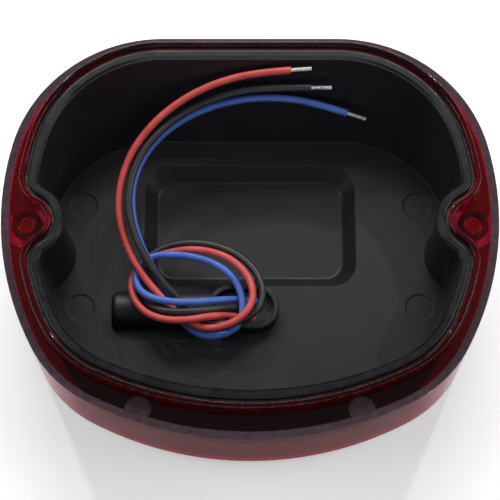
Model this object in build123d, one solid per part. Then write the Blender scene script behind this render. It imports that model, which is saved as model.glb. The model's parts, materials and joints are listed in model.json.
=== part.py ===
from build123d import *
import os
from math import pi, radians, sqrt, tan

# Lay-down style LED tail light for a motorcycle, lens face down.
# Units are millimetres. +Z points out of the mounting side, +Y towards the flat side of the lens
# and X runs from ear to ear. The origin is under the middle of the lens, on its front face.

# Lens outline
lens_width = 154.2
lens_length = 132.0
side_radius = 95.0
side_centre_y = 7.0
bottom_rise = 32.4
top_corner_radius = 48.0
bottom_corner_radius = 40.0

# Lens section
lens_wall = 2.4
shelf_height = 45.6
shelf_thickness = 2.6
land_width = 2.4
land_height = 0.25
pin_mark_x = 33.5
pin_mark_setback = 9.4
pin_mark_radius = 4.0
pin_mark_depth = 0.15
front_edge_radius = 5.0
front_side_draft = 1.4
front_top_draft = 3.2
front_bottom_draft = 4.2

# Rib round the housing, and its seal
rib_side_inset = 4.9
rib_top_inset = 2.9
rib_bottom_inset = 8.4
rib_width = 2.0
rib_height = 4.8
rib_lip_radius = 0.7
seal_gap = 0.8
seal_height = 1.2
seal_lip_drop = 1.4
tub_clearance = 0.6

# Ears and their screw holes
ear_edge_distance = 8.1
ear_line = 2.6
ear_hole_radius = 2.9
ear_well_radius = 6.0
ear_blend_radius = 10.0
screw_well_radius = 4.9
ear_wall_spread = 6.8

# Rear housing
band_width = 3.1
band_height = 3.2
housing_wall = 1.6
housing_floor = 2.0
tub_depth = 33.5
floor_side_inset = 12.4
floor_top_inset = 23.3
floor_bottom_inset = 17.0
recess_size = (68.6, 42.1)
recess_centre_y = 13.2
recess_depth = 5.5
recess_slope = 4.3
recess_corner_radius = 8.0
recess_low_corner_radius = 6.0
recess_wall = 1.8
recess_floor_radius = 1.6
rim_edge_radius = 0.8
rim_chamfer = 0.7
boss_spots = ((54.2, 20.0), (54.2, -14.9))
boss_radius = 3.4
sink_mark_radius = 4.4
sink_mark_depth = 0.25

# Blister over the capacitor, and the wire outlet
blister_radius = 6.5
blister_left = -44.0
blister_line = -16.2
blister_end_radius = 2.0
collar_left = -6.0
collar_right = 1.8
collar_radius = 7.4
collar_wall = 1.6
collar_height = 5.0
collar_lip_radius = 0.5
collar_skirt_drop = 0.6
skirt_clearance = 0.2
plug_drop = 2.9

# Circuit board stack
board_gap = 0.4
board_thickness = 1.6
board_bottom_step = 1.0
board_inset = 8.5
board_ear_radius = 13.0
reflector_thickness = 1.2
reflector_gap = 1.0
reflector_step = 1.0
cup_flare = 1.0
cup_depth = 1.2
led_size = 5.0
led_height = 1.6
led_dome_radius = 1.9
led_clearance = 0.4
led_columns = 7
led_rows = 6
led_pitch = 16.0
led_row_top = 40.0
brake_reach = (40.0, 36.0)
screw_core_radius = 1.1
screw_length = 7.0
screw_head_radius = 2.6
screw_head_height = 1.7
screw_head_edge = 0.7
screw_slot_width = 0.7
screw_slot_length = 3.2
pilot_clearance = 0.05
board_hole_clearance = 0.4
pilot_floor = 0.6
capacitor_radius = 4.0
capacitor_length = 18.0
capacitor_edge = 0.6
capacitor_x = -29.0
part_gap = 0.2
reflector_wall = 1.0
resistor_size = (6.3, 3.2, 0.6)
resistor_places = (-30.0, -20.0, -10.0, 0.0, 10.0, 20.0, 30.0)
resistor_y = -42.0
diode_size = (4.6, 2.6, 2.1)
diode_places = (18.0, 26.0, 34.0)
diode_y = -18.0
regulator_size = (6.6, 6.1, 2.3)
regulator_tab_size = (5.2, 2.0, 0.6)
regulator_places = (-16.0, 16.0)
regulator_y = -31.0

# Number-plate light
window_width = 46.0
window_low = 9.0
window_high = 25.0
window_clearance = 0.1
window_cut_depth = 24.0
plate_board_size = (44.0, 1.2, 12.0)
plate_board_setback = 15.0
plate_led_places = (-14.0, 0.0, 14.0)
plate_led_size = (3.5, 1.9, 2.8)
header_size = (12.6, 2.5, 2.5)

# Wires, as limp cords: each route runs from the outlet seal through the knot to its free end
wire_diameter = 2.3
corner_share = 0.45
strand_diameter = 1.25
strand_length = 6.5
lead_radius = 0.9
solder_radius = 1.9
solder_height = 1.2
solder_lip = 0.2
wire_routes = {
    "red": [
        (1.6, -19.0, 17.4), (-4.6, -19.4, 21.2), (-11.6, -20.8, 26.2), (-19.0, -23.2, 29.0),
        (-26.8, -23.4, 29.4), (-33.4, -20.2, 27.6), (-37.3, -13.9, 25.3), (-37.9, -7.2, 23.2),
        (-34.4, -1.4, 22.0), (-28.6, 1.2, 21.8), (-21.2, 2.6, 22.9), (-13.4, 1.8, 24.2),
        (-5.6, -1.6, 25.2), (-0.4, -7.6, 26.2), (1.4, -14.6, 27.8), (-1.0, -20.8, 28.4),
        (-6.8, -24.4, 27.3), (-13.8, -25.0, 25.0), (-20.4, -22.4, 25.6), (-25.8, -17.4, 27.1),
        (-31.0, -11.8, 27.6), (-35.6, -5.6, 28.3), (-39.6, 2.4, 29.0), (-42.0, 12.0, 30.2),
        (-41.4, 22.6, 31.8), (-37.4, 32.6, 34.8), (-29.8, 41.2, 38.4), (-20.2, 47.4, 42.0),
        (-9.6, 51.2, 45.2), (2.0, 53.2, 47.4), (13.0, 53.6, 48.4),
    ],
    "black": [
        (2.8, -16.2, 17.4), (-4.0, -16.5, 21.2), (-11.2, -18.4, 25.8), (-19.0, -20.5, 29.0),
        (-26.8, -20.6, 29.4), (-32.8, -16.7, 26.2), (-35.2, -10.6, 22.3), (-35.8, -3.6, 19.7),
        (-32.0, 2.4, 18.9), (-25.2, 5.2, 20.0), (-17.4, 5.4, 21.8), (-9.6, 3.4, 23.6),
        (-2.2, -0.8, 24.4), (3.0, -7.0, 25.0), (4.4, -14.2, 25.6), (1.6, -20.2, 25.8),
        (-4.4, -23.0, 25.2), (-11.4, -23.0, 23.5), (-17.6, -19.8, 24.9), (-22.8, -15.2, 26.9),
        (-27.6, -10.4, 28.4), (-32.0, -4.6, 30.2), (-36.0, 2.8, 31.4), (-38.6, 11.8, 32.4),
        (-38.4, 21.2, 33.2), (-35.0, 30.6, 34.8), (-28.0, 38.8, 36.6), (-18.8, 45.0, 38.4),
        (-8.0, 49.0, 40.2), (4.0, 50.6, 41.8), (19.6, 50.4, 42.2),
    ],
    "blue": [
        (3.6, -13.4, 17.4), (-3.2, -13.7, 21.2), (-10.4, -15.6, 25.8), (-18.0, -17.6, 29.6),
        (-25.0, -17.8, 30.8), (-31.2, -16.2, 29.8), (-35.8, -12.0, 27.2), (-36.4, -5.4, 25.2),
        (-32.0, -0.4, 24.6), (-25.0, 0.3, 24.6), (-17.0, -0.6, 24.4), (-9.4, -3.6, 24.2),
        (-4.2, -8.6, 24.0), (-2.0, -15.4, 23.6), (-2.8, -22.2, 22.8), (-7.2, -25.9, 22.8),
        (-14.0, -26.6, 22.0), (-19.8, -23.7, 22.4), (-23.5, -18.4, 24.1), (-26.4, -12.2, 25.0),
        (-30.4, -6.0, 27.1), (-34.9, 2.2, 28.6), (-37.6, 11.6, 29.6), (-37.8, 21.4, 30.6),
        (-34.2, 31.2, 32.2), (-26.8, 39.4, 34.0), (-16.8, 45.2, 35.6), (-5.2, 48.4, 37.0),
        (7.2, 49.2, 37.8), (19.8, 48.0, 36.6), (31.2, 45.4, 33.6),
    ],
}
lead_places = {"red": -6.0, "black": -2.0, "blue": 2.0}

half_width = lens_width / 2
half_length = lens_length / 2
bottom_radius = (half_width ** 2 + bottom_rise ** 2) / (2 * bottom_rise)
ear_x = half_width - ear_edge_distance
rim_step = rib_width + seal_gap + band_width
ledge_width = band_width - housing_wall - tub_clearance
floor_ear_radius = ear_well_radius + ear_wall_spread
rim_height = shelf_height + seal_height + band_height
floor_height = rim_height - tub_depth
floor_under = floor_height - housing_floor
recess_under = floor_height - recess_depth - recess_wall
board_back = recess_under - board_gap
board_front = board_back - board_thickness
collar_top = floor_height + collar_height
plug_top = collar_top - plug_drop
window_middle = (window_low + window_high) / 2
plate_board_y = half_length - plate_board_setback

# How far a cutting solid runs past the face it cuts, and a joined solid into the one it joins
overcut = 1.0
sink = 0.5

os.makedirs("parts", exist_ok=True)


def disc(x, y, radius):
    """A flat round face."""
    return Pos(x, y) * Circle(radius)


def rod(x, y, low, high, radius):
    """An upright cylinder between two heights."""
    return slab(disc(x, y, radius), low, high)


def outline(side, top, bottom, ear_radius=0.0, blend=0.0):
    """The lens outline drawn in by three insets, with the ears scooped out of it."""
    low, high = bottom - half_length, half_length - top
    block = Pos(0, high - lens_length) * Rectangle(lens_width, 2 * lens_length)
    reach = side_radius - side
    centre = half_width - side_radius
    face = block & disc(centre, side_centre_y, reach) & disc(-centre, side_centre_y, reach)
    face = face & disc(0, low + bottom_radius, bottom_radius)
    upper = face.vertices().sort_by(Axis.Y)[-2:]
    face = fillet(upper, top_corner_radius - side)
    lower = [v for v in face.vertices() if v.Y < 0]
    face = fillet(lower, bottom_corner_radius - side)
    if ear_radius:
        for x in (-ear_x, ear_x):
            face = face - disc(x, ear_line, ear_radius)
        near = [
            v for v in face.vertices()
            if abs(v.Y - ear_line) < ear_radius and abs(v.X) > ear_x - ear_radius
        ]
        face = fillet(near, blend)
    return face


def level(step):
    """The rib's own outline, drawn in by one even step."""
    return outline(
        rib_side_inset + step, rib_top_inset + step, rib_bottom_inset + step,
        ear_well_radius + step, ear_blend_radius - step,
    )


def slab(face, low, high):
    """A flat-bottomed plate between two heights."""
    return extrude(Pos(0, 0, low) * face, high - low)


def tapered(low_face, low, high_face, high):
    """A shell body that grows from one outline to another."""
    return loft([Pos(0, 0, low) * low_face, Pos(0, 0, high) * high_face], ruled=True)


def save(shape, name):
    """Writes one sub-part."""
    shape.label = name
    export_step(shape, f"parts/{name}.step")


def group(solids, name):
    """Writes one sub-part made of several separate, alike solids."""
    save(Compound(children=list(solids)), name)


# Lens: a drafted cup with a flange, a rib and two screw ears
def make_lens():
    front = outline(front_side_draft, front_top_draft, front_bottom_draft)
    shelf = outline(0, 0, 0)
    body = tapered(front, 0, shelf, shelf_height)
    body = fillet(body.faces().sort_by(Axis.Z)[0].edges(), front_edge_radius)
    wall = lens_wall
    inner_front = outline(front_side_draft + wall, front_top_draft + wall, front_bottom_draft + wall)
    cavity = tapered(inner_front, wall, outline(wall, wall, wall), shelf_height)
    flange_low = shelf_height - shelf_thickness
    for x in (-ear_x, ear_x):
        cavity -= rod(x, ear_line, 0, shelf_height, screw_well_radius + wall)
    cavity -= slab(shelf, flange_low, shelf_height + overcut)
    for x in (-ear_x, ear_x):
        body -= rod(x, ear_line, -overcut, flange_low, screw_well_radius)
        body -= rod(x, ear_line, flange_low - overcut, shelf_height + overcut, ear_hole_radius)
    body -= cavity
    window = body & window_block(-window_clearance)
    body -= window_block(0)
    opening = level(rib_width + seal_gap + ledge_width)
    body -= slab(opening, flange_low - overcut, shelf_height + overcut)
    shelf_face = outline(land_width, land_width, land_width) - level(0)
    body -= slab(shelf_face, shelf_height - land_height, shelf_height + overcut)
    for x in (-pin_mark_x, pin_mark_x):
        mark = shelf_face & disc(x, pin_mark_setback - half_length, pin_mark_radius)
        body -= slab(mark, shelf_height - land_height - pin_mark_depth, shelf_height)
    rib_top = shelf_height + rib_height
    rib = slab(level(0), shelf_height - 2 * sink, rib_top)
    rib -= slab(level(rib_width), shelf_height - overcut, rib_top + overcut)
    rib = fillet(rib.edges().group_by(Axis.Z)[-1], rib_lip_radius)
    return body + rib, window


def window_block(grow):
    """The space of the number-plate window, through the flat side of the lens."""
    width = window_width + 2 * grow
    height = window_high - window_low + 2 * grow
    return Pos(0, half_length - window_cut_depth / 4, window_middle) * Box(width, window_cut_depth, height)


# Rear housing: a tapered tub with a flange band, bosses, a blister and a wire collar
def make_housing():
    body = tub_outside() + recess_outside() - tub_inside() - recess_inside()
    body = body + blister_outside() - blister_inside()
    collar = slab(collar_face(collar_radius), floor_height - sink, collar_top)
    body = body + fillet(collar.edges().group_by(Axis.Z)[-1], collar_lip_radius)
    body = body - collar_hole() + collar_skirt()
    for x, y in boss_places():
        body = body + rod(x, y, board_back, floor_under + sink, boss_radius)
        body = body - rod(x, y, board_back, floor_under - pilot_floor, screw_core_radius + pilot_clearance)
        body = body - rod(x, y, floor_height - sink_mark_depth, floor_height + overcut, sink_mark_radius)
    return body


def tub_floor(wall):
    """The plan of the tub's floor, drawn out by the wall for its outside."""
    return outline(
        floor_side_inset - wall, floor_top_inset - wall, floor_bottom_inset - wall,
        floor_ear_radius - wall, ear_blend_radius - rim_step + wall,
    )


def tub_outside():
    rim = level(rim_step - housing_wall)
    band = slab(level(rib_width + seal_gap), rim_height - band_height, rim_height)
    band = fillet(band.edges().group_by(Axis.Z)[-1], rim_edge_radius)
    return tapered(tub_floor(housing_wall), floor_under, rim, rim_height - band_height / 2) + band


def tub_inside():
    """The tub's hollow, opened out by a chamfer at its mouth."""
    mouth = level(rim_step)
    hollow = tapered(tub_floor(0), floor_height, mouth, rim_height)
    flare = tapered(mouth, rim_height - rim_chamfer, level(rim_step - rim_chamfer), rim_height)
    return hollow + flare


def recess_face(grow, corner_radius):
    """The recess's plan, drawn out by one even step."""
    width, length = recess_size
    return Pos(0, recess_centre_y) * RectangleRounded(width + 2 * grow, length + 2 * grow, corner_radius)


def recess_outside():
    low = recess_face(recess_wall - recess_slope, recess_corner_radius)
    high = recess_face(recess_wall, recess_corner_radius + recess_wall)
    return tapered(low, recess_under, high, floor_height - housing_floor / 2)


def recess_inside():
    low = recess_face(-recess_slope, recess_low_corner_radius)
    high = recess_face(0, recess_corner_radius)
    pocket = tapered(low, floor_height - recess_depth, high, floor_height)
    return fillet(pocket.faces().sort_by(Axis.Z)[0].edges(), recess_floor_radius)


def blister_tube(radius, length):
    middle = (collar_left + blister_left) / 2
    return Pos(middle, blister_line, floor_height) * Rot(0, 90, 0) * Cylinder(radius, length)


def blister_outside():
    """The upper half of a tube that lies along the floor, rounded at its far end."""
    tube = blister_tube(blister_radius, collar_left - blister_left)
    tube = fillet(tube.faces().sort_by(Axis.X)[0].edges(), blister_end_radius)
    return tube & slab(Rectangle(lens_width, lens_length), floor_height, collar_top + blister_radius)


def blister_inside():
    return blister_tube(blister_radius - housing_wall, collar_left - blister_left - 2 * housing_wall)


def collar_face(radius):
    """The obround plan of the wire outlet."""
    middle = (collar_left + collar_right) / 2
    straight = collar_right - collar_left
    return Pos(middle, blister_line) * SlotOverall(straight + 2 * radius, 2 * radius)


def collar_hole():
    """The outlet, cut up through the blister's near end too."""
    high = floor_height + blister_radius + overcut
    return slab(collar_face(collar_radius - collar_wall), floor_under - overcut, high)


def collar_skirt():
    """The collar's wall carried down through the blister's hollow."""
    skirt = slab(collar_face(collar_radius), floor_under, collar_top - collar_skirt_drop) - collar_hole()
    return skirt & blister_tube(blister_radius - skirt_clearance, collar_left - blister_left)


def boss_places():
    return [(side * x, y) for x, y in boss_spots for side in (-1, 1)]


# Seal between the lens rib and the housing band
def make_seal():
    foot = slab(level(rib_width), shelf_height, shelf_height + seal_height)
    foot -= slab(level(rib_width + seal_gap + ledge_width), shelf_height - overcut, rim_height)
    lip = slab(level(rib_width), shelf_height, rim_height - seal_lip_drop)
    lip -= slab(level(rib_width + seal_gap), shelf_height - overcut, rim_height)
    return foot + lip


# Circuit board with its reflector, lamps and parts
def board_outline(step):
    """The board's plan, drawn in by one even step."""
    inset = board_inset + step
    return outline(
        inset, inset, inset + board_bottom_step, board_ear_radius + step, ear_blend_radius)


def led_places():
    """Centres of the lamps: a grid with its corners left out."""
    middle = (led_columns - 1) / 2
    spots = []
    for column in range(led_columns):
        for row in range(led_rows):
            x = (column - middle) * led_pitch
            y = led_row_top - row * led_pitch
            if not (abs(x) > brake_reach[0] and abs(y) > brake_reach[1]):
                spots.append((x, y))
    return spots


def is_brake(x, y):
    return abs(x) < brake_reach[0] and abs(y) < brake_reach[1]


def make_board():
    low, high = board_front - overcut, board_back + overcut
    board = slab(board_outline(0), board_front, board_back)
    for x, y in boss_places():
        board -= rod(x, y, low, high, screw_core_radius + board_hole_clearance)
    for x in lead_places.values():
        board -= rod(x, blister_line, low, high, lead_radius)
    return board


def make_reflector():
    plate_low = board_front - reflector_thickness
    rim_low = lens_wall + reflector_gap
    tray = slab(board_outline(reflector_step), rim_low, board_front)
    tray -= slab(board_outline(reflector_step + reflector_wall), rim_low - overcut, plate_low)
    low, high = plate_low - overcut, board_front + overcut
    hole = led_size / sqrt(2) + led_clearance
    for x, y in led_places():
        tray -= rod(x, y, low, high, hole)
        tray -= Pos(x, y, plate_low) * Cone(hole + cup_flare, hole, cup_depth)
    for x, y in boss_places():
        tray -= rod(x, y, low, high, screw_core_radius + board_hole_clearance)
    for x in lead_places.values():
        tray -= rod(x, blister_line, low, high, lead_radius + board_hole_clearance)
    return tray


def make_led(x, y):
    package_low = board_front - led_height
    package = slab(Pos(x, y) * Rectangle(led_size, led_size), package_low, board_front)
    dome = Pos(x, y, package_low) * Sphere(led_dome_radius)
    return package + (dome - rod(x, y, package_low, board_back + led_dome_radius, led_size))


def make_screw(x, y):
    seat = board_front - reflector_thickness
    head_low = seat - screw_head_height
    head = rod(x, y, head_low, seat, screw_head_radius)
    head = fillet(head.edges().group_by(Axis.Z)[0], screw_head_edge)
    long, short = screw_slot_length, screw_slot_width
    for width, length in ((short, long), (long, short)):
        head -= Pos(x, y, head_low) * Box(width, length, screw_head_height)
    return head + rod(x, y, seat, seat + screw_length, screw_core_radius)


def make_capacitor():
    height = board_back + part_gap + capacitor_radius
    can = Pos(capacitor_x, blister_line, height) * Rot(0, 90, 0)
    can = can * Cylinder(capacitor_radius, capacitor_length)
    return fillet(can.edges(), capacitor_edge)


def chip(x, y, size):
    """A part that stands on the back of the board."""
    width, length, height = size
    return Pos(x, y, board_back + height / 2) * Box(width, length, height)


def make_regulator(x):
    reach = (regulator_size[1] + regulator_tab_size[1]) / 2
    return chip(x, regulator_y, regulator_size) + chip(x, regulator_y + reach, regulator_tab_size)


def make_plate_led(x):
    y = plate_board_y + (plate_board_size[1] + plate_led_size[1]) / 2
    return Pos(x, y, window_middle) * Box(*plate_led_size)


# Wires
def wire_path(points):
    """Straight runs joined by tangent arcs, each arc as large as its two runs allow."""
    spots = [Vector(*point) for point in points]
    radii = []
    for before, corner, after in zip(spots, spots[1:], spots[2:]):
        arriving, leaving = corner - before, after - corner
        turn = radians(arriving.get_angle(leaving))
        radii.append(corner_share * min(arriving.length, leaving.length) / tan(turn / 2))
    return FilletPolyline(*spots, radius=radii), radii


def round_section(path, at, diameter):
    """A round face square across the path's start or end."""
    return Plane(origin=path @ at, z_dir=path % at) * Circle(diameter / 2)


def make_wire(colour):
    path, radii = wire_path(wire_routes[colour])
    tube = sweep(round_section(path, 0, wire_diameter), path=path)
    expected = path.length * pi * wire_diameter ** 2 / 4
    print(f"wire_{colour}: length {path.length:.1f}, radii from {min(radii):.1f} to {max(radii):.1f}, "
          f"volume {tube.volume:.1f} against {expected:.1f}")
    tip = extrude(round_section(path, 1, strand_diameter), strand_length)
    return tube, tip


def make_lead(colour):
    """A stiff lead from the board up to the outlet seal."""
    return rod(lead_places[colour], blister_line, board_front, floor_under, lead_radius)


def make_solder(colour):
    x = lead_places[colour]
    mound = Pos(x, blister_line, board_back + solder_height / 2)
    mound = mound * Cone(solder_radius, lead_radius + solder_lip, solder_height)
    return mound - rod(x, blister_line, board_back, floor_under, lead_radius)


lens, plate_window = make_lens()
save(lens, "lens")
save(plate_window, "plate_window")
save(make_seal(), "seal_bead")
save(make_housing(), "rear_housing")
save(make_board(), "led_board")
save(make_reflector(), "reflector")
group([make_led(x, y) for x, y in led_places() if not is_brake(x, y)], "running_leds")
group([make_led(x, y) for x, y in led_places() if is_brake(x, y)], "brake_leds")
group([make_screw(x, y) for x, y in boss_places()], "board_screws")
save(make_capacitor(), "storage_capacitor")
group([chip(x, resistor_y, resistor_size) for x in resistor_places], "resistors")
group([chip(x, diode_y, diode_size) for x in diode_places], "protection_diodes")
group([make_regulator(x) for x in regulator_places], "current_regulators")
save(chip(0, plate_board_y, plate_board_size), "plate_board")
header_y = plate_board_y - (plate_board_size[1] + header_size[1]) / 2
save(chip(0, header_y, header_size), "plate_header")
group([make_plate_led(x) for x in plate_led_places], "plate_leds")

outlet_seal = slab(collar_face(collar_radius - collar_wall), floor_under, plug_top)
for colour in wire_routes:
    wire, strands = make_wire(colour)
    outlet_seal -= wire
    save(wire, f"wire_{colour}")
    save(strands, f"strands_{colour}")
    save(make_lead(colour), f"inner_lead_{colour}")
save(outlet_seal, "outlet_seal")
group([make_solder(colour) for colour in wire_routes], "solder_joints")
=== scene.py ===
# %% [markdown]
# # Lay-down tail light, lens face down
# A tail light is a red cup of clear plastic with a black plastic tub glued into its mouth. The lamps
# sit between the two, and a knotted bunch of three wires comes out of the tub. Its sizes were
# settled in the CAD model, so this scene starts from that model and works on looks alone: softer
# edges, real wires, twisted copper ends and a finish for every surface.

# %% Load the frame
import json
from math import cos, pi, radians, sin

import bpy
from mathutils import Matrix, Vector


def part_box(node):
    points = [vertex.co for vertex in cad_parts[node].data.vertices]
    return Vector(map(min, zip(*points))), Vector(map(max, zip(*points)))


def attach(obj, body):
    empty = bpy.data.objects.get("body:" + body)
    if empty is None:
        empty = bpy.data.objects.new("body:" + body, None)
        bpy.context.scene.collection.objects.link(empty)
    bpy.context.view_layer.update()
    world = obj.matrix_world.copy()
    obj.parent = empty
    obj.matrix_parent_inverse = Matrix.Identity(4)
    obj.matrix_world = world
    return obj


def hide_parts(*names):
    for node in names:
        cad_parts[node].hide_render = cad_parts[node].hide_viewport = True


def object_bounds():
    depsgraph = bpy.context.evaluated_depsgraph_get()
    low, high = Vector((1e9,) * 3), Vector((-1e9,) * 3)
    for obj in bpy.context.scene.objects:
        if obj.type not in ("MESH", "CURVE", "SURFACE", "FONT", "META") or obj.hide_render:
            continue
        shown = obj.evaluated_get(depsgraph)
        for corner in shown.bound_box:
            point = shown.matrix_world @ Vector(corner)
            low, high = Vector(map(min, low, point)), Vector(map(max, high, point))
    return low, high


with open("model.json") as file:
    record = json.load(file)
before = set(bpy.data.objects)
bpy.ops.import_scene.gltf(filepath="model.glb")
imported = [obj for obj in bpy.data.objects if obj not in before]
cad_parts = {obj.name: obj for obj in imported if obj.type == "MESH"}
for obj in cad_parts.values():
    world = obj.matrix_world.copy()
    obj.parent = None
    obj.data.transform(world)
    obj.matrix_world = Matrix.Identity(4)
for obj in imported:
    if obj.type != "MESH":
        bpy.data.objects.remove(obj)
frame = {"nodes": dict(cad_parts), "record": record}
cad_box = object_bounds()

scene = bpy.context.scene
print("pieces in the frame:", len(frame["nodes"]))
print("whole object, mm:", [round(1000 * (high - low), 1) for low, high in zip(*cad_box)])

# %% [markdown]
# ## The camera
# The camera stands about 600 mm above the object and leans a little, so that it looks down into
# the tub and still sees the outside of the near wall. A long lens keeps the outline from
# bulging. The camera is made first, because every later choice is judged through it.

# %% Camera
bpy.ops.object.camera_add(location=(0, -0.2124, 0.6065), rotation=(radians(20.2), 0, 0))
camera = bpy.context.object
camera.name = "studio_camera"
camera.data.lens = 140.0
camera.data.sensor_width = 36.0
camera.data.clip_start = 0.02
scene.camera = camera
print("camera stands at, mm:", [round(1000 * x) for x in camera.location])

# %% [markdown]
# ## Floor and light
# The object lies on white seamless paper, so one very wide sheet does for the floor. It is set a
# hair below the lens, because two faces in one plane flicker. Four large soft lamps stand for
# softboxes: one behind, which gives the tub floor its sheen, one at each side, and a weak one
# in front. Two small lamps behind add short bright glints on the lip of the rib.

# %% Floor
paper_drop = 0.0003
bpy.ops.mesh.primitive_plane_add(size=6.0, location=(0, 0, -paper_drop))
paper = bpy.context.object
paper.name = "seamless_paper"
print("paper lies below the lens by, mm:", 1000 * paper_drop)

# %% Soft lamps
def softbox(name, place, aim, size, power):
    """A large square lamp that faces the aim point."""
    bpy.ops.object.light_add(type="AREA", location=place)
    lamp = bpy.context.object
    lamp.name = name
    lamp.data.shape = "SQUARE"
    lamp.data.size = size
    lamp.data.energy = power
    lamp.rotation_euler = (Vector(aim) - Vector(place)).to_track_quat("-Z", "Y").to_euler()
    return lamp


softbox("back_softbox", (0.0, 1.3, 1.2), (0, 0, 0.02), 1.0, 15.0)
softbox("left_softbox", (-1.3, 0.0, 0.9), (0, 0, 0.03), 0.8, 6.0)
softbox("right_softbox", (1.3, 0.0, 0.9), (0, 0, 0.03), 0.8, 7.0)
softbox("front_softbox", (0.0, -1.5, 0.8), (0, 0, 0.03), 0.8, 3.0)
softbox("small_key", (-0.5, 0.9, 0.9), (0, 0, 0.03), 0.05, 3.5)
softbox("small_key_right", (0.5, 0.9, 0.9), (0, 0, 0.03), 0.05, 3.5)

scene.world = bpy.data.worlds.new("studio_room")
scene.world.use_nodes = True
room = scene.world.node_tree.nodes["Background"]
room.inputs["Color"].default_value = (0.95, 0.97, 1.0, 1.0)
room.inputs["Strength"].default_value = 0.25
scene.view_settings.view_transform = "Standard"

# %% [markdown]
# ## How a finish is made
# Every finish is one Principled shader with textures worked out from the object's own coordinates,
# in metres. A scale of 1000 therefore gives grains about 1 mm across. Values that are the same all
# over go straight on the shader's sockets. Small helpers keep each finish down to what matters:
# what varies, how large the grains are, and how far they stand up.

# %% Helpers for finishes
def new_finish(name, **values):
    """A finish with these even values; a socket's name is written with underscores."""
    finish = bpy.data.materials.new(name)
    finish.use_nodes = True
    shader = finish.node_tree.nodes["Principled BSDF"]
    for socket, value in values.items():
        shader.inputs[socket.replace("_", " ")].default_value = value
    return finish


def add_node(finish, kind, **values):
    """One more node in the finish, with these values on its sockets."""
    node = finish.node_tree.nodes.new(kind)
    for socket, value in values.items():
        node.inputs[socket.replace("_", " ")].default_value = value
    return node


def grain(finish, size, stretch=(1, 1, 1), detail=3.0, rough=0.5):
    """Cloudy noise with grains of this size in metres; a small stretch draws them out."""
    coords = add_node(finish, "ShaderNodeTexCoord")
    place = add_node(finish, "ShaderNodeMapping")
    place.inputs["Scale"].default_value = stretch
    noise = add_node(finish, "ShaderNodeTexNoise", Scale=1 / size, Detail=detail, Roughness=rough)
    join(finish, coords.outputs["Object"], place.inputs["Vector"])
    join(finish, place.outputs["Vector"], noise.inputs["Vector"])
    return noise.outputs["Fac"]


def join(finish, source, target):
    """Wires one socket to another."""
    finish.node_tree.links.new(source, target)


def spread(finish, source, stops):
    """Turns a 0-1 pattern into colours: stops are (position, colour)."""
    ramp = add_node(finish, "ShaderNodeValToRGB")
    join(finish, source, ramp.inputs["Fac"])
    band = ramp.color_ramp
    while len(band.elements) < len(stops):
        band.elements.new(0.5)
    for element, (position, colour) in zip(band.elements, stops):
        element.position = position
        element.color = (*colour, 1.0)
    return ramp.outputs["Color"]


def between(finish, source, low, high, start=0.3, end=0.7):
    """Turns a 0-1 pattern into numbers from low to high."""
    numbers = add_node(finish, "ShaderNodeMapRange")
    numbers.inputs["From Min"].default_value = start
    numbers.inputs["From Max"].default_value = end
    numbers.inputs["To Min"].default_value = low
    numbers.inputs["To Max"].default_value = high
    join(finish, source, numbers.inputs["Value"])
    return numbers.outputs["Result"]


def shader_input(finish, socket):
    return finish.node_tree.nodes["Principled BSDF"].inputs[socket]


def colour_by(finish, pattern, stops):
    join(finish, spread(finish, pattern, stops), shader_input(finish, "Base Color"))


def gloss_by(finish, pattern, low, high, start=0.3, end=0.7):
    join(finish, between(finish, pattern, low, high, start, end), shader_input(finish, "Roughness"))


def raise_surface(finish, patterns, soft_edge=0.0):
    """Bumps one pattern after another: patterns are (source, height in metres)."""
    normal = None
    if soft_edge:
        bevel = add_node(finish, "ShaderNodeBevel", Radius=soft_edge)
        bevel.samples = 4
        normal = bevel.outputs["Normal"]
    for source, height in patterns:
        bump = add_node(finish, "ShaderNodeBump", Strength=1.0, Distance=height)
        join(finish, source, bump.inputs["Height"])
        if normal:
            join(finish, normal, bump.inputs["Normal"])
        normal = bump.outputs["Normal"]
    join(finish, normal, shader_input(finish, "Normal"))

# %% [markdown]
# ## White paper
# Seamless paper is matt with the faintest tooth. It lies on a light table, so it glows a little
# itself: that keeps it white near the object, and sends some light up through the red plastic.

# %% Paper finish
paper_finish = new_finish(
    "white_paper", Roughness=0.9, Emission_Color=(1.0, 1.0, 1.0, 1.0), Emission_Strength=0.3)
tooth = grain(paper_finish, 0.004, detail=5)
colour_by(paper_finish, tooth, [(0.3, (0.9, 0.9, 0.9)), (0.7, (0.93, 0.93, 0.93))])
raise_surface(paper_finish, [(tooth, 0.00002)])
paper.data.materials.append(paper_finish)
print("paper glows at", shader_input(paper_finish, "Emission Strength").default_value)

# %% [markdown]
# ## Red lens plastic
# The cup is moulded in see-through red acrylic. Light that goes through two skins of it comes out
# deep red. So the finish is a transmitting one, with a strong tint, a nearly polished skin, slow
# ripples from the mould and fine dust specks that only change the gloss. Real acrylic bends light
# by 1.49, but on walls seen at such a slant that mirrors so much paper that the red is lost, so
# the walls get a much lower value. The flange, the rib and the screw wells get a deeper tint and
# more shine, and their edges are softened a little. Their deeper tint is partly the longer path
# through the plastic and partly painted shade, where little light comes through.

# %% Red lens finishes
def red_acrylic(name, ior, dark, pale, cloud_size, cloud_detail, soft_edge=0.0):
    """See-through red plastic with slow clouds in its tint, specks of dust and mould ripples."""
    finish = new_finish(name, Roughness=0.06, IOR=ior, Transmission_Weight=0.97)
    colour_by(finish, grain(finish, cloud_size, detail=cloud_detail), [(0.3, dark), (0.7, pale)])
    specks = grain(finish, 0.0012, detail=6, rough=0.7)
    gloss_by(finish, specks, 0.04, 0.2, 0.45, 0.8)
    ripple = grain(finish, 0.012, detail=1)
    raise_surface(finish, [(ripple, 0.00006), (specks, 0.000004)], soft_edge)
    return finish


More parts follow.
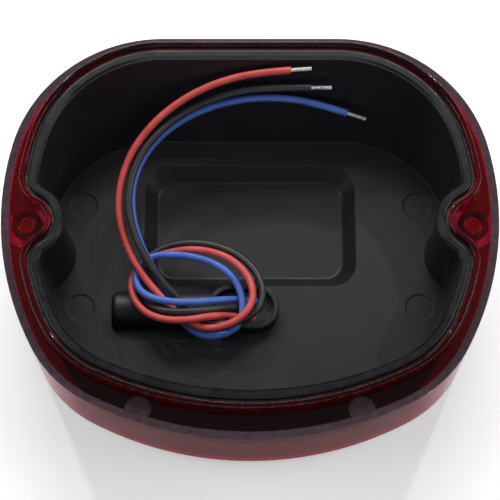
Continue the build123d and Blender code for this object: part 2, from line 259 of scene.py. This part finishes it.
red_plastic = red_acrylic(
    "red_lens_plastic", 1.03, (0.36, 0.004, 0.030), (0.42, 0.006, 0.045), 0.03, 2)
# The darker red: partly a deeper tint for the longer path through plastic, partly painted shade.
deep_red_shaded = red_acrylic(
    "deep_red_shaded_plastic", 1.3, (0.15, 0.003, 0.009), (0.22, 0.005, 0.015), 0.02, 3, soft_edge=0.0004)
print("red finishes:", red_plastic.name, deep_red_shaded.name)

# %% [markdown]
# ## Land with painted sheen
# A narrow raised land runs round the edge of the flange, and two round pin marks sit beside it.
# These spots get a dark grey, matt finish beside the clear red; the grey is a painted sheen, for
# light glancing off them. Little light comes through them: most of the finish is a dark surface
# with a soft sheen.

# %% Land finish with painted sheen
land_with_painted_sheen = new_finish(
    "land_with_painted_sheen", Roughness=0.42, IOR=1.3, Transmission_Weight=0.1, Specular_IOR_Level=0.25)
land_grain = grain(land_with_painted_sheen, 0.002, detail=5, rough=0.6)
# Dark grey in place of the red: a painted sheen, for light glancing off the land and the marks.
colour_by(land_with_painted_sheen, land_grain, [(0.3, (0.032, 0.021, 0.027)), (0.7, (0.062, 0.042, 0.052))])
gloss_by(land_with_painted_sheen, land_grain, 0.36, 0.5)
raise_surface(land_with_painted_sheen, [(land_grain, 0.00001)])
print("frosted finish:", land_with_painted_sheen.name)

# %% [markdown]
# ## Black tub plastic
# The tub is black ABS with a fine spark-eroded mould texture. It looks dark grey where a lamp
# shines along it and nearly black on the steep walls. The texture is about a third of a
# millimetre, with larger cloudy patches where the surface was handled. The top of the band has a
# smoother skin, so it gets a finish of its own, slightly darker and glossier.

# %% Black tub finish
black_plastic = new_finish("black_tub_plastic", Roughness=0.45, IOR=1.5, Specular_IOR_Level=0.42)
clouds = grain(black_plastic, 0.02, detail=4)
colour_by(black_plastic, clouds, [(0.3, (0.0056, 0.0056, 0.0074)), (0.7, (0.0070, 0.0070, 0.0092))])
handled = grain(black_plastic, 0.012, detail=5, rough=0.6)
gloss_by(black_plastic, handled, 0.40, 0.52)
texture = grain(black_plastic, 0.00035, detail=2)
raise_surface(black_plastic, [(texture, 0.000012)], soft_edge=0.0006)

black_rim = new_finish("black_rim_plastic", Roughness=0.3, IOR=1.45, Specular_IOR_Level=0.4)
wiped = grain(black_rim, 0.004, stretch=(1, 1, 0.3), detail=4)
colour_by(black_rim, wiped, [(0.3, (0.004, 0.0042, 0.005)), (0.7, (0.006, 0.0062, 0.0072))])
gloss_by(black_rim, wiped, 0.24, 0.38)
raise_surface(black_rim, [(wiped, 0.00003)])
print("black finishes:", black_plastic.name, black_rim.name)

# %% [markdown]
# ## Moulded pieces
# The cup, the tub and the seal already have their right shapes, but as loose triangles.
# A copy of each is merged into one skin and shaded smooth by angle, so that round corners look
# round and flat faces stay flat. The copy then stands for the CAD piece.

# %% Helpers for pieces
merge_distance = 0.000002
flat_enough = radians(0.8)


def select_only(piece):
    bpy.ops.object.select_all(action="DESELECT")
    piece.select_set(True)
    bpy.context.view_layer.objects.active = piece


def one_skin(node, finish, angle=32):
    """A merged, smooth copy of a CAD piece, in its place."""
    source = frame["nodes"][node]
    piece = bpy.data.objects.new(f"{node}_skin", source.data.copy())
    scene.collection.objects.link(piece)
    select_only(piece)
    bpy.ops.mesh.customdata_custom_splitnormals_clear()
    bpy.ops.object.mode_set(mode="EDIT")
    bpy.ops.mesh.select_all(action="SELECT")
    bpy.ops.mesh.remove_doubles(threshold=merge_distance)
    bpy.ops.mesh.dissolve_limited(angle_limit=flat_enough)
    bpy.ops.object.mode_set(mode="OBJECT")
    bpy.ops.object.shade_smooth_by_angle(angle=radians(angle))
    bpy.ops.object.modifier_add(type="WEIGHTED_NORMAL")
    piece.modifiers[-1].keep_sharp = True
    bpy.ops.object.modifier_apply(modifier=piece.modifiers[-1].name)
    piece.data.materials.clear()
    piece.data.materials.append(finish)
    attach(piece, "root")
    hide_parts(node)
    print(piece.name, "has", len(piece.data.polygons), "faces")
    return piece


def slot_of(node):
    """The record's finish for a CAD piece."""
    for part in frame["record"]["subparts"]:
        if part["node"] == node:
            return part["material_slot"]


# %% The cup
lens = one_skin("lens", red_plastic)
# Slot 1: the grey land finish, whose grey is a painted sheen.
lens.data.materials.append(land_with_painted_sheen)
# Slot 2: the darker red, partly painted shade, for the flange, rib and screw wells.
lens.data.materials.append(deep_red_shaded)

# %% [markdown]
# ## Three finishes on one cup
# The cup is one moulding, so its finishes are given face by face. Flat faces that look up at the
# height of the land or of the pin marks get the grey finish, whose grey is a painted sheen. Whole
# faces of the flange and rib, and the faces of the two screw wells, get the darker red, which is
# partly painted shade. The rest keeps the red of the walls.

# %% Share out the finishes of the cup
land_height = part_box("seal_bead")[0][2]
mark_height = land_height - 0.0004
height_slack = 0.00005
looks_up = 0.9
flange_depth = 0.003
well_middle = Vector((0.069, 0.0026))
well_reach = 0.0052
for face in lens.data.polygons:
    middle = face.center
    painted_sheen = any(abs(middle.z - height) < height_slack for height in (land_height, mark_height))
    lowest = min(lens.data.vertices[i].co.z for i in face.vertices)
    from_well = (Vector((abs(middle.x), middle.y)) - well_middle).length
    # Land and pin-mark faces take the grey finish, whose grey is a painted sheen.
    if face.normal.z > looks_up and painted_sheen:
        face.material_index = 1
    # Flange, rib and screw-well faces take the darker red, which is partly painted shade.
    elif lowest > land_height - flange_depth or from_well < well_reach:
        face.material_index = 2
shares = [sum(face.material_index == i for face in lens.data.polygons) for i in range(3)]
print("faces of the walls, the frosted spots and the deep red:", shares)

# %% The tub
tub = one_skin("rear_housing", black_plastic)
tub.data.materials.append(black_rim)
band_top_depth = 0.0013
rim_low = cad_box[1][2] - band_top_depth
for face in tub.data.polygons:
    if face.center.z > rim_low:
        face.material_index = 1
print("faces on top of the band:", sum(face.material_index for face in tub.data.polygons))

# %% [markdown]
# ## Wires
# Three hook-up wires leave the outlet, cross in one loose overhand knot and swing up to the flat
# side of the lamp. A wire is a smooth curve with a round section, so each is a NURBS curve
# through the same places as in the CAD model, in metres. They run side by side in
# the knot, and each has its own height at each crossing.

# %% Wire routes
wire_diameter = 0.0023
routes_in_mm = {
    "red": [
        (1.6, -19.0, 17.4), (-4.6, -19.4, 21.2), (-11.6, -20.8, 26.2), (-19.0, -23.2, 29.0),
        (-26.8, -23.4, 29.4), (-33.4, -20.2, 27.6), (-37.3, -13.9, 25.3), (-37.9, -7.2, 23.2),
        (-34.4, -1.4, 22.0), (-28.6, 1.2, 21.8), (-21.2, 2.6, 22.9), (-13.4, 1.8, 24.2),
        (-5.6, -1.6, 25.2), (-0.4, -7.6, 26.2), (1.4, -14.6, 27.8), (-1.0, -20.8, 28.4),
        (-6.8, -24.4, 27.3), (-13.8, -25.0, 25.0), (-20.4, -22.4, 25.6), (-25.8, -17.4, 27.1),
        (-31.0, -11.8, 27.6), (-35.6, -5.6, 28.3), (-39.6, 2.4, 29.0), (-42.0, 12.0, 30.2),
        (-41.4, 22.6, 31.8), (-37.4, 32.6, 34.8), (-29.8, 41.2, 38.4), (-20.2, 47.4, 42.0),
        (-9.6, 51.2, 45.2), (2.0, 53.2, 47.4), (13.0, 53.6, 48.4),
    ],
    "black": [
        (2.8, -16.2, 17.4), (-4.0, -16.5, 21.2), (-11.2, -18.4, 25.8), (-19.0, -20.5, 29.0),
        (-26.8, -20.6, 29.4), (-32.8, -16.7, 26.2), (-35.2, -10.6, 22.3), (-35.8, -3.6, 19.7),
        (-32.0, 2.4, 18.9), (-25.2, 5.2, 20.0), (-17.4, 5.4, 21.8), (-9.6, 3.4, 23.6),
        (-2.2, -0.8, 24.4), (3.0, -7.0, 25.0), (4.4, -14.2, 25.6), (1.6, -20.2, 25.8),
        (-4.4, -23.0, 25.2), (-11.4, -23.0, 23.5), (-17.6, -19.8, 24.9), (-22.8, -15.2, 26.9),
        (-27.6, -10.4, 28.4), (-32.0, -4.6, 30.2), (-36.0, 2.8, 31.4), (-38.6, 11.8, 32.4),
        (-38.4, 21.2, 33.2), (-35.0, 30.6, 34.8), (-28.0, 38.8, 36.6), (-18.8, 45.0, 38.4),
        (-8.0, 49.0, 40.2), (4.0, 50.6, 41.8), (19.6, 50.4, 42.2),
    ],
    "blue": [
        (3.6, -13.4, 17.4), (-3.2, -13.7, 21.2), (-10.4, -15.6, 25.8), (-18.0, -17.6, 29.6),
        (-25.0, -17.8, 30.8), (-31.2, -16.2, 29.8), (-35.8, -12.0, 27.2), (-36.4, -5.4, 25.2),
        (-32.0, -0.4, 24.6), (-25.0, 0.3, 24.6), (-17.0, -0.6, 24.4), (-9.4, -3.6, 24.2),
        (-4.2, -8.6, 24.0), (-2.0, -15.4, 23.6), (-2.8, -22.2, 22.8), (-7.2, -25.9, 22.8),
        (-14.0, -26.6, 22.0), (-19.8, -23.7, 22.4), (-23.5, -18.4, 24.1), (-26.4, -12.2, 25.0),
        (-30.4, -6.0, 27.1), (-34.9, 2.2, 28.6), (-37.6, 11.6, 29.6), (-37.8, 21.4, 30.6),
        (-34.2, 31.2, 32.2), (-26.8, 39.4, 34.0), (-16.8, 45.2, 35.6), (-5.2, 48.4, 37.0),
        (7.2, 49.2, 37.8), (19.8, 48.0, 36.6), (31.2, 45.4, 33.6),
    ],
}
wire_routes = {
    colour: [tuple(x / 1000 for x in place) for place in route]
    for colour, route in routes_in_mm.items()
}
print("places on each wire:", {colour: len(route) for colour, route in wire_routes.items()})

# %% [markdown]
# ## Wire insulation
# Hook-up wire has a soft PVC skin with a low sheen. The colour is even, so what makes it read as
# PVC is fine cross marks from the extruder, a little chalkiness in patches, and a soft shine.

# %% Insulation finishes
def insulation(name, dark, pale, rough):
    """Soft PVC between two close colours."""
    finish = new_finish(name, Roughness=rough, IOR=1.5, Specular_IOR_Level=0.45)
    chalk = grain(finish, 0.006, detail=4)
    colour_by(finish, chalk, [(0.3, dark), (0.75, pale)])
    marks = grain(finish, 0.0006, detail=3)
    gloss_by(finish, marks, rough - 0.06, rough + 0.1)
    raise_surface(finish, [(marks, 0.00001), (chalk, 0.00008)])
    return finish


wire_finishes = {
    "red": insulation("red_pvc", (0.46, 0.045, 0.042), (0.60, 0.085, 0.075), 0.45),
    "black": insulation("black_pvc", (0.016, 0.017, 0.018), (0.03, 0.031, 0.033), 0.38),
    "blue": insulation("blue_pvc", (0.045, 0.105, 0.42), (0.075, 0.16, 0.54), 0.45),
}
print("insulation:", [finish.name for finish in wire_finishes.values()])

# %% Lay the wires
def lay_wire(colour):
    """One smooth curve of round section along the wire's route."""
    line = bpy.data.curves.new(f"{colour}_wire_line", "CURVE")
    line.dimensions = "3D"
    line.bevel_depth = wire_diameter / 2
    line.bevel_resolution = 6
    line.use_fill_caps = True
    line.resolution_u = 8
    spline = line.splines.new("NURBS")
    spline.points.add(len(wire_routes[colour]) - 1)
    for point, place in zip(spline.points, wire_routes[colour]):
        point.co = (*place, 1.0)
    spline.order_u = 3
    spline.use_endpoint_u = True
    spline.use_smooth = True
    wire = bpy.data.objects.new(f"{colour}_wire", line)
    scene.collection.objects.link(wire)
    line.materials.append(wire_finishes[colour])
    return wire


wires = {colour: lay_wire(colour) for colour in wire_routes}
print("wires:", [wire.name for wire in wires.values()])

# %% [markdown]
# ## Tinned copper ends
# Each wire is stripped at its free end, and its strands are twisted and tinned. Six thin rods
# round a seventh, turned by a twist modifier, give the rope look of the real thing. They
# are then laid along the last stretch of the wire.

# %% Tinned copper finish
tinned = new_finish("tinned_copper", Metallic=1.0, Roughness=0.3)
solder_film = grain(tinned, 0.0008, detail=4)
colour_by(tinned, solder_film, [(0.35, (0.50, 0.47, 0.44)), (0.65, (0.78, 0.77, 0.75))])
gloss_by(tinned, solder_film, 0.24, 0.45)
raise_surface(tinned, [(solder_film, 0.00002)])
print("finish of the bare ends:", tinned.name)

# %% Twist the strands
strand_length = 0.0065
bundle_radius = 0.000625
strand_radius = bundle_radius / 3
strand_rings = 16
bundle_twist = radians(230)


def straight_strand(angle, distance):
    """One rod of the bundle, with rings along it so that it can bend."""
    bpy.ops.mesh.primitive_circle_add(
        vertices=12, radius=strand_radius, fill_type="NGON",
        location=(distance * cos(angle), distance * sin(angle), 0))
    strand = bpy.context.object
    bpy.ops.object.mode_set(mode="EDIT")
    for _ in range(strand_rings):
        bpy.ops.mesh.extrude_region_move(
            TRANSFORM_OT_translate={"value": (0, 0, strand_length / strand_rings)})
    bpy.ops.mesh.select_all(action="SELECT")
    bpy.ops.mesh.normals_make_consistent(inside=False)
    bpy.ops.object.mode_set(mode="OBJECT")
    return strand


def twisted_bundle(colour):
    """Six rods round a seventh, upright, turned like a rope."""
    rods = [straight_strand(0, 0)]
    rods += [straight_strand(turn * pi / 3, 2 * strand_radius) for turn in range(6)]
    bpy.ops.object.select_all(action="DESELECT")
    for rod in rods:
        rod.select_set(True)
    bpy.context.view_layer.objects.active = rods[0]
    bpy.ops.object.join()
    bundle = bpy.context.object
    bundle.name = f"{colour}_wire_strands"
    bpy.ops.object.transform_apply(location=True, rotation=True, scale=True)
    bpy.ops.object.modifier_add(type="SIMPLE_DEFORM")
    twist = bundle.modifiers[-1]
    twist.deform_method = "TWIST"
    twist.deform_axis = "Z"
    twist.angle = bundle_twist
    bpy.ops.object.modifier_apply(modifier=twist.name)
    return bundle


def lay_bundle(colour):
    """Turns a bundle along the wire's last stretch and sets its foot at the end of the skin."""
    bundle = twisted_bundle(colour)
    before, end = [Vector(place) for place in wire_routes[colour][-2:]]
    way = (end - before).normalized()
    bundle.location = end
    bundle.rotation_euler = way.to_track_quat("Z", "Y").to_euler()
    select_only(bundle)
    bpy.ops.object.transform_apply(location=True, rotation=True, scale=True)
    bpy.ops.object.shade_smooth_by_angle(angle=radians(40))
    bundle.data.materials.append(tinned)
    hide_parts(f"strands_{colour}")
    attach(bundle, "root")
    return bundle


for colour, wire in wires.items():
    strands = lay_bundle(colour)
    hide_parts(f"wire_{colour}")
    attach(wire, "root")
    print(colour, "wire laid, with", len(strands.data.polygons), "faces of strands")

# %% [markdown]
# ## Inner parts
# Through the red cup the circuit board, the bright reflector and the lamps show. Their shapes come
# from the CAD model as they are, and each gets its own finish.

# %% Inner finishes
def speckled(name, dark, pale, size, height=0.0, low=0.3, high=0.45, **values):
    """An inner part's finish: two close colours, uneven gloss and a slight bump."""
    finish = new_finish(name, **values)
    pattern = grain(finish, size, detail=4)
    colour_by(finish, pattern, [(0.35, dark), (0.65, pale)])
    gloss_by(finish, pattern, low, high)
    raise_surface(finish, [(pattern, height)])
    return finish


clear_window = new_finish("clear_window", Roughness=0.05, IOR=1.5, Transmission_Weight=1.0)
raise_surface(clear_window, [(grain(clear_window, 0.01, detail=1), 0.00004)])

finishes = {
    "sealant": speckled(
        "black_sealant", (0.012, 0.012, 0.013), (0.03, 0.03, 0.032), 0.003, 0.0003, 0.25, 0.5),
    "board_laminate": speckled(
        "green_laminate", (0.012, 0.075, 0.03), (0.02, 0.11, 0.045), 0.0015, 0.00003),
    "chrome_reflector": speckled(
        "bright_reflector", (0.72, 0.72, 0.74), (0.84, 0.84, 0.85), 0.01, 0.00004, 0.12, 0.25,
        Metallic=1.0),
    "lamp_package": speckled(
        "lamp_epoxy", (0.75, 0.72, 0.62), (0.85, 0.83, 0.75), 0.001, 0.00002, 0.15, 0.3),
    "ceramic_chip": speckled(
        "ceramic_chip", (0.10, 0.085, 0.07), (0.16, 0.14, 0.12), 0.0006, 0.00002),
    "chip_black": speckled(
        "chip_black", (0.012, 0.012, 0.013), (0.022, 0.022, 0.024), 0.0005, 0.00002, 0.4, 0.6),
    "zinc_screw": speckled(
        "zinc_plate", (0.55, 0.54, 0.50), (0.70, 0.69, 0.66), 0.001, 0.00002, 0.25, 0.4,
        Metallic=1.0),
    "solder": speckled(
        "solder", (0.60, 0.60, 0.62), (0.75, 0.75, 0.77), 0.0006, 0.00005, 0.2, 0.35,
        Metallic=1.0),
    "capacitor_can": speckled(
        "can_sleeve", (0.02, 0.025, 0.06), (0.03, 0.035, 0.08), 0.002, 0.00002, 0.25, 0.35),
    "clear_window": clear_window,
    "red_insulation": wire_finishes["red"],
    "black_insulation": wire_finishes["black"],
    "blue_insulation": wire_finishes["blue"],
    "tinned_copper": tinned,
    "black_housing": black_plastic,
    "red_lens": red_plastic,
}
print("finishes by slot:", len(finishes))

# %% Give the finishes
for node, piece in frame["nodes"].items():
    piece.data.materials.clear()
    piece.data.materials.append(finishes[slot_of(node)])
print("slots in use:", len(set(slot_of(node) for node in frame["nodes"])))

one_skin("seal_bead", finishes["sealant"])
one_skin("outlet_seal", finishes["sealant"])
one_skin("storage_capacitor", finishes["capacitor_can"])
